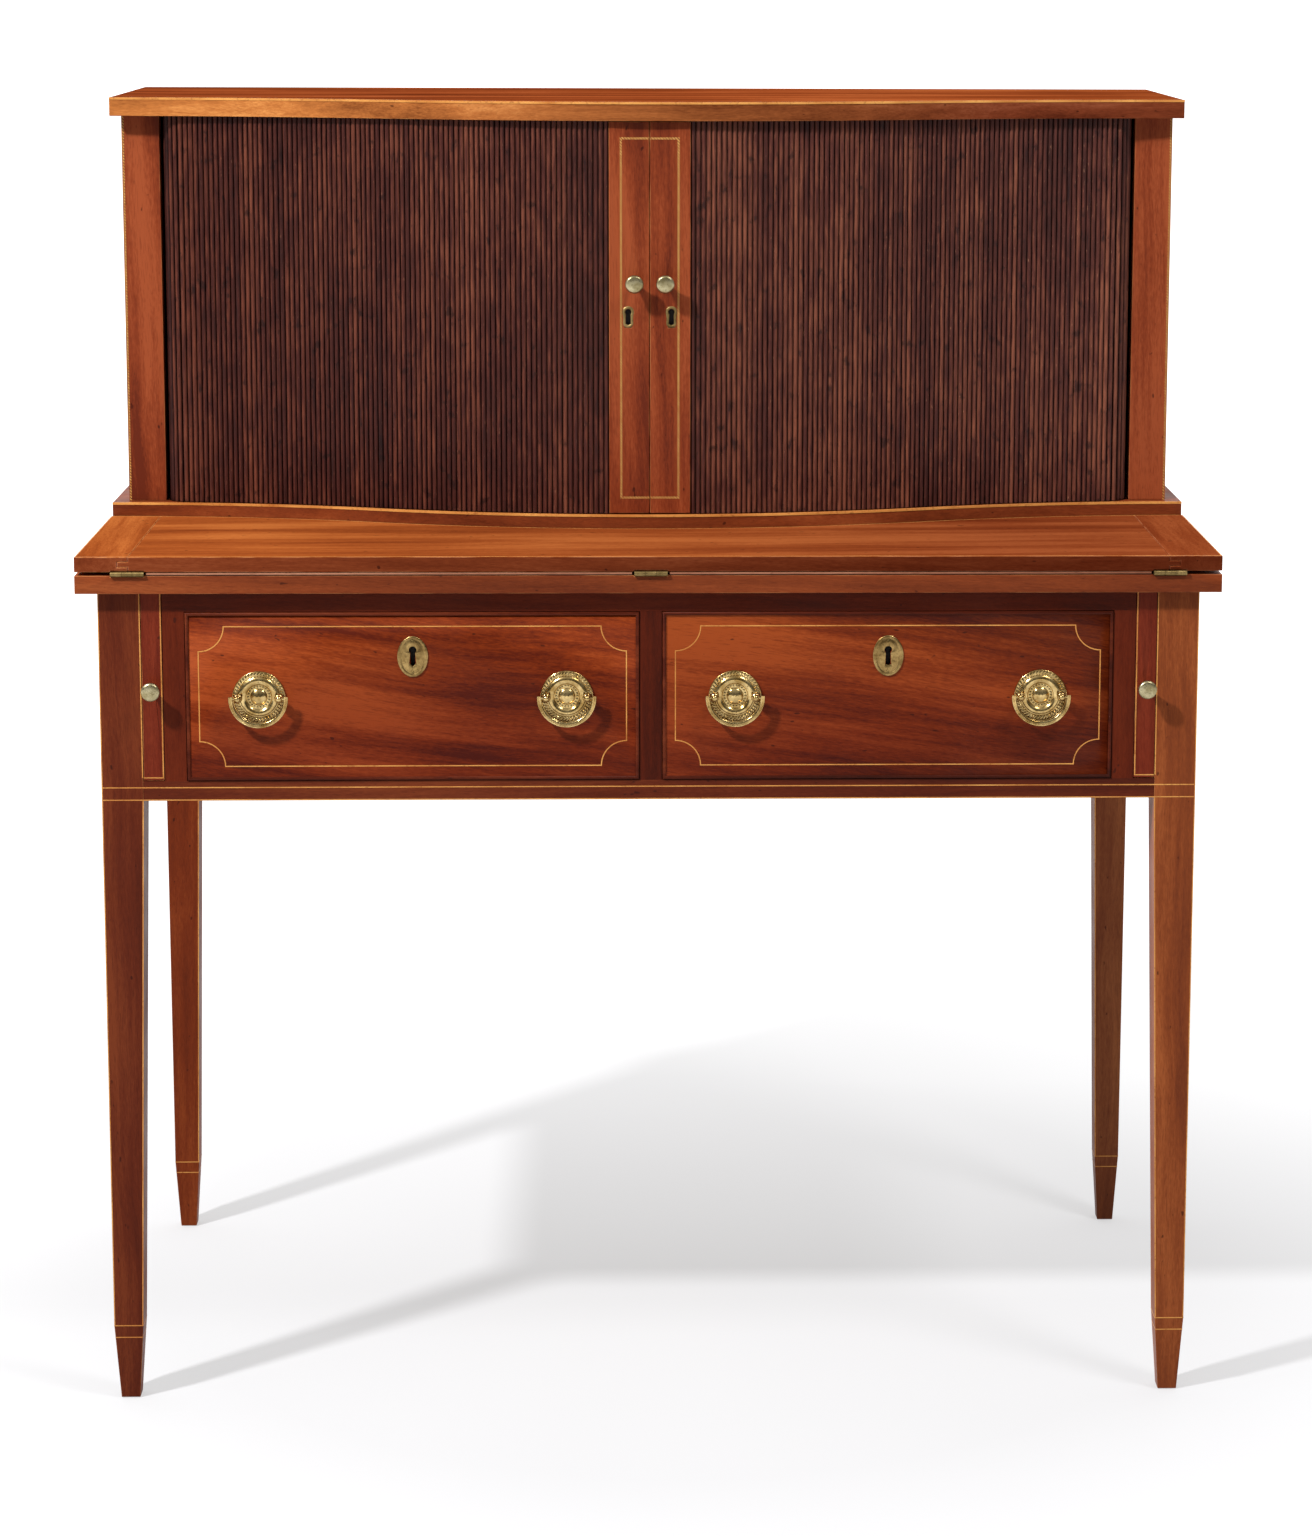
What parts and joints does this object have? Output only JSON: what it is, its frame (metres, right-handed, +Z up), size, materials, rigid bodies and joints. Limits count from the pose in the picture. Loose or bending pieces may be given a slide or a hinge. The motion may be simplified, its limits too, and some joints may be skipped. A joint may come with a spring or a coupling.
{
  "type": "tambour writing desk",
  "caption": "Free-standing writing desk: serpentine case closed by sliding tambours, fold-forward leaf on pull-out supports, drawers with bail pulls, square tapered legs.",
  "frame": {"origin": "floor level, at the middle of the desk's overall width and depth with its knobs", "axes": "+X to the right of a person facing the desk, +Y to its back, +Z up"},
  "size_m": [0.969, 0.498, 1.1202],
  "materials": {
    "mahogany": "french-polished mahogany",
    "pine": "plain unpolished secondary wood",
    "tambour_reeds": "dark polished reeds on canvas",
    "brass": "aged polished brass"
  },
  "bodies": {
    "case": {"leg_front_left": "mahogany", "leg_front_right": "mahogany", "leg_rear_left": "mahogany", "leg_rear_right": "mahogany", "side_panel_left": "mahogany", "side_panel_right": "mahogany", "back_panel": "pine", "top_rail": "mahogany", "bottom_rail": "mahogany", "drawer_divider": "mahogany", "loper_partitions": "mahogany", "drawer_runners": "pine", "bed_board": "mahogany", "bed_hinge_plates": "brass", "fold_strips": "mahogany", "upper_base": "mahogany", "upper_top": "mahogany", "upper_side_left": "mahogany", "upper_side_right": "mahogany", "upper_back": "pine", "pilaster_left": "mahogany", "pilaster_right": "mahogany", "inner_sides": "pine", "pigeonholes": "pine"},
    "leaf": {"writing_leaf": "mahogany", "leaf_breadboard_ends": "mahogany", "leaf_hinge_plates": "brass"},
    "loper_left": {"loper_left": "mahogany", "loper_knob_left": "brass"},
    "drawer_left": {"drawer_left_front": "mahogany", "drawer_left_box": "pine", "drawer_left_bottom": "pine", "drawer_left_cock_bead": "mahogany", "drawer_left_escutcheon": "brass", "drawer_left_lock_case": "brass", "drawer_left_pulls": "brass"},
    "bolt_left": {"drawer_left_lock_bolt": "brass"},
    "tambour_left": {"lead_stile_left": "mahogany", "lead_knob_left": "brass", "lead_lock_left": "brass", "tambour_left": "tambour_reeds"},
    "bail_left_inner": {"bail_left_inner": "brass"},
    "bail_left_outer": {"bail_left_outer": "brass"},
    "loper_right": {"loper_right": "mahogany", "loper_knob_right": "brass"},
    "drawer_right": {"drawer_right_front": "mahogany", "drawer_right_box": "pine", "drawer_right_bottom": "pine", "drawer_right_cock_bead": "mahogany", "drawer_right_escutcheon": "brass", "drawer_right_lock_case": "brass", "drawer_right_pulls": "brass"},
    "bolt_right": {"drawer_right_lock_bolt": "brass"},
    "tambour_right": {"lead_stile_right": "mahogany", "lead_knob_right": "brass", "lead_lock_right": "brass", "tambour_right": "tambour_reeds"},
    "bail_right_inner": {"bail_right_inner": "brass"},
    "bail_right_outer": {"bail_right_outer": "brass"}
  },
  "joints": [
    {"name": "leaf_hinge", "type": "hinge", "parent": "case", "child": "leaf", "pos_m": [0, -0.2429, 0.7312], "axis": [1, 0, 0], "range_deg": [0, 180]},
    {"name": "loper_left_slide", "type": "slide", "parent": "case", "child": "loper_left", "axis": [0, -1, 0], "range_m": [0, 0.23]},
    {"name": "drawer_left_slide", "type": "slide", "parent": "case", "child": "drawer_left", "axis": [0, -1, 0], "range_m": [0, 0.3]},
    {"name": "bolt_left_slide", "type": "slide", "parent": "drawer_left", "child": "bolt_left", "axis": [0, 0, 1], "range_m": [0, 0.007]},
    {"name": "bail_left_inner_hinge", "type": "hinge", "parent": "drawer_left", "child": "bail_left_inner", "pos_m": [-0.0715, -0.2405, 0.6238], "axis": [-1, 0, 0], "range_deg": [0, 150]},
    {"name": "bail_left_outer_hinge", "type": "hinge", "parent": "drawer_left", "child": "bail_left_outer", "pos_m": [-0.3323, -0.2405, 0.6238], "axis": [-1, 0, 0], "range_deg": [0, 150]},
    {"name": "tambour_left_slide", "type": "slide", "parent": "case", "child": "tambour_left", "axis": [-0.9817, 0.1903, 0], "range_m": [0, 0.3915], "deforming": ["tambour_left"]},
    {"name": "loper_right_slide", "type": "slide", "parent": "case", "child": "loper_right", "axis": [0, -1, 0], "range_m": [0, 0.23]},
    {"name": "drawer_right_slide", "type": "slide", "parent": "case", "child": "drawer_right", "axis": [0, -1, 0], "range_m": [0, 0.3]},
    {"name": "bolt_right_slide", "type": "slide", "parent": "drawer_right", "child": "bolt_right", "axis": [0, 0, 1], "range_m": [0, 0.007]},
    {"name": "bail_right_inner_hinge", "type": "hinge", "parent": "drawer_right", "child": "bail_right_inner", "pos_m": [0.0715, -0.2405, 0.6238], "axis": [-1, 0, 0], "range_deg": [0, 150]},
    {"name": "bail_right_outer_hinge", "type": "hinge", "parent": "drawer_right", "child": "bail_right_outer", "pos_m": [0.3323, -0.2405, 0.6238], "axis": [-1, 0, 0], "range_deg": [0, 150]},
    {"name": "tambour_right_slide", "type": "slide", "parent": "case", "child": "tambour_right", "axis": [0.9817, 0.1903, 0], "range_m": [0, 0.3915], "deforming": ["tambour_right"]}
  ]
}
